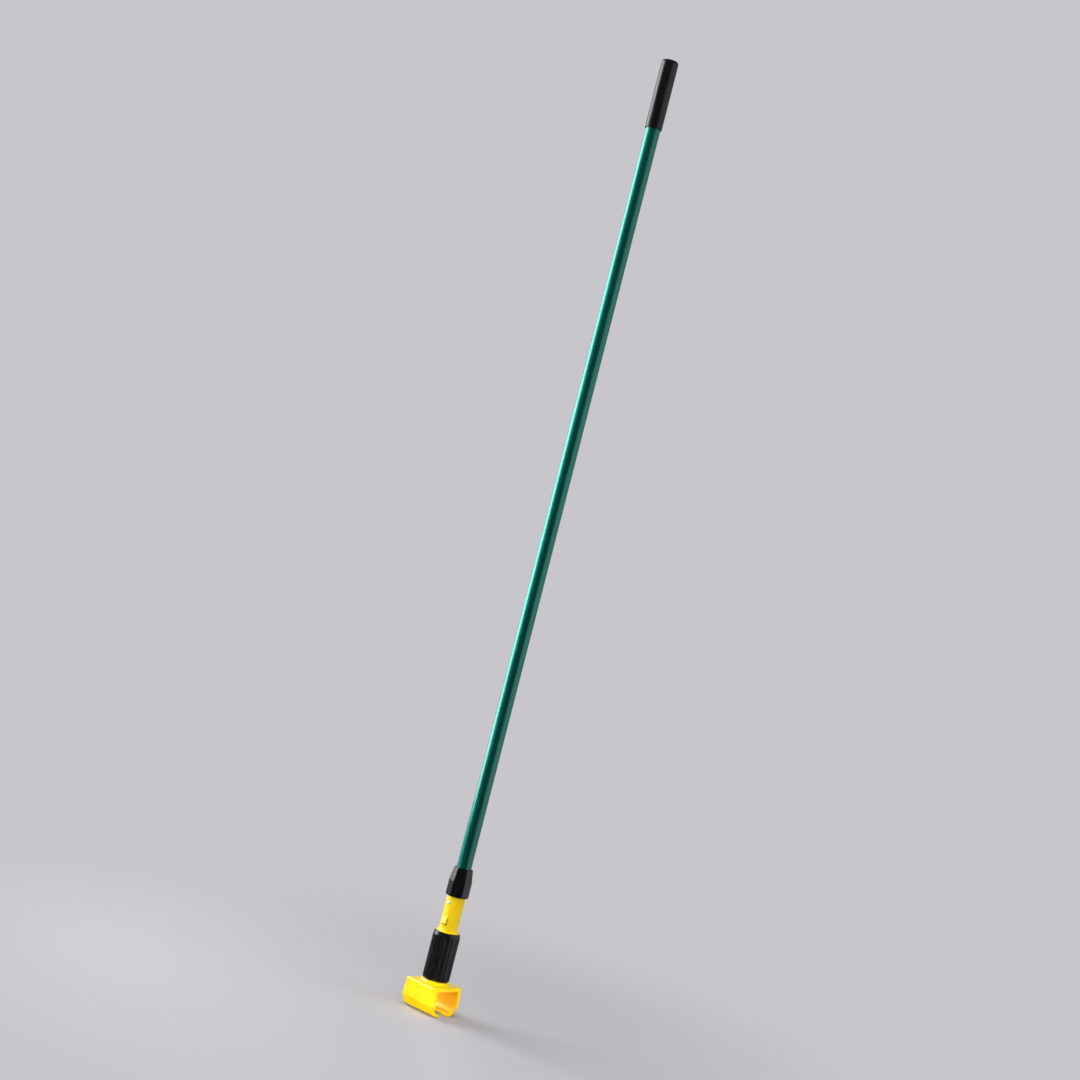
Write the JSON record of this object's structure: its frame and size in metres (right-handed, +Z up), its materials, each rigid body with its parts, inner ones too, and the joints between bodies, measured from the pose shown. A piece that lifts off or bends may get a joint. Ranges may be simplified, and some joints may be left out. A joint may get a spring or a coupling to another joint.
{
  "type": "clamp-type mop handle",
  "caption": "Long tubular handle with an end grip, a hexagonal lock nut and a fluted twist sleeve that opens and closes a two-jaw clamp head.",
  "frame": {"origin": "On the pole's axis, at the underside of the closed jaws' lips.", "axes": "+Z runs up the pole to the grip, +X along the clamp's width towards one open end, -Y is the front jaw's side with the rivet and the snap tongue."},
  "size_m": [0.0746, 0.0702, 1.653],
  "materials": {
    "green_fibreglass": "smooth glossy green resin-rich fibreglass tube",
    "black_vinyl": "smooth satin black vinyl grip",
    "black_plastic": "moulded black plastic, satin to gloss",
    "yellow_plastic": "moulded yellow plastic with a slight gloss",
    "bright_steel": "bright plated rivet and washer",
    "spring_steel": "plain drawn or rolled steel",
    "white_acetal": "plain white low-friction plastic",
    "plug_wood": "turned hardwood dowel"
  },
  "bodies": {
    "handle": {"pole_tube": "green_fibreglass", "pole_plug": "plug_wood", "end_grip": "black_vinyl", "neck_body": "yellow_plastic", "neck_rivet": "bright_steel", "rivet_washer": "bright_steel", "front_pin": "spring_steel", "rear_pin": "spring_steel", "spreader_spring": "spring_steel"},
    "ring": {"closing_ring": "spring_steel", "ring_washer": "white_acetal"},
    "sleeve": {"twist_sleeve": "black_plastic", "ring_retainer": "spring_steel"},
    "front_jaw": {"front_jaw": "yellow_plastic"},
    "rear_jaw": {"rear_jaw": "yellow_plastic"},
    "ferrule": {"nut_ferrule": "white_acetal"},
    "nut": {"lock_nut": "black_plastic"}
  },
  "joints": [
    {"name": "ring_slide", "type": "slide", "parent": "handle", "child": "ring", "axis": [0, 0, 1], "range_m": [0, 0.012]},
    {"name": "sleeve_twist", "type": "hinge", "parent": "ring", "child": "sleeve", "pos_m": [0, 0, 0.09], "axis": [0, 0, 1], "range_deg": [0, 180]},
    {"name": "front_jaw_swing", "type": "hinge", "parent": "handle", "child": "front_jaw", "pos_m": [0, -0.007, 0.095], "axis": [-1, 0, 0], "range_deg": [0, 11.5]},
    {"name": "rear_jaw_swing", "type": "hinge", "parent": "handle", "child": "rear_jaw", "pos_m": [0, 0.007, 0.095], "axis": [1, 0, 0], "range_deg": [0, 11.5]},
    {"name": "ferrule_slide", "type": "slide", "parent": "handle", "child": "ferrule", "axis": [0, 0, 1], "range_m": [0, 0.0025]},
    {"name": "nut_turn", "type": "hinge", "parent": "ferrule", "child": "nut", "pos_m": [0, 0, 0.22], "axis": [0, 0, 1], "range_deg": [0, 360]}
  ],
  "couplings": [
    {"joint": "sleeve_twist", "follows": "ring_slide", "rad_per_m": 261.8},
    {"joint": "front_jaw_swing", "follows": "ring_slide", "rad_per_m": 16.726},
    {"joint": "rear_jaw_swing", "follows": "ring_slide", "rad_per_m": 16.726},
    {"joint": "nut_turn", "follows": "ferrule_slide", "rad_per_m": 2513.3}
  ]
}
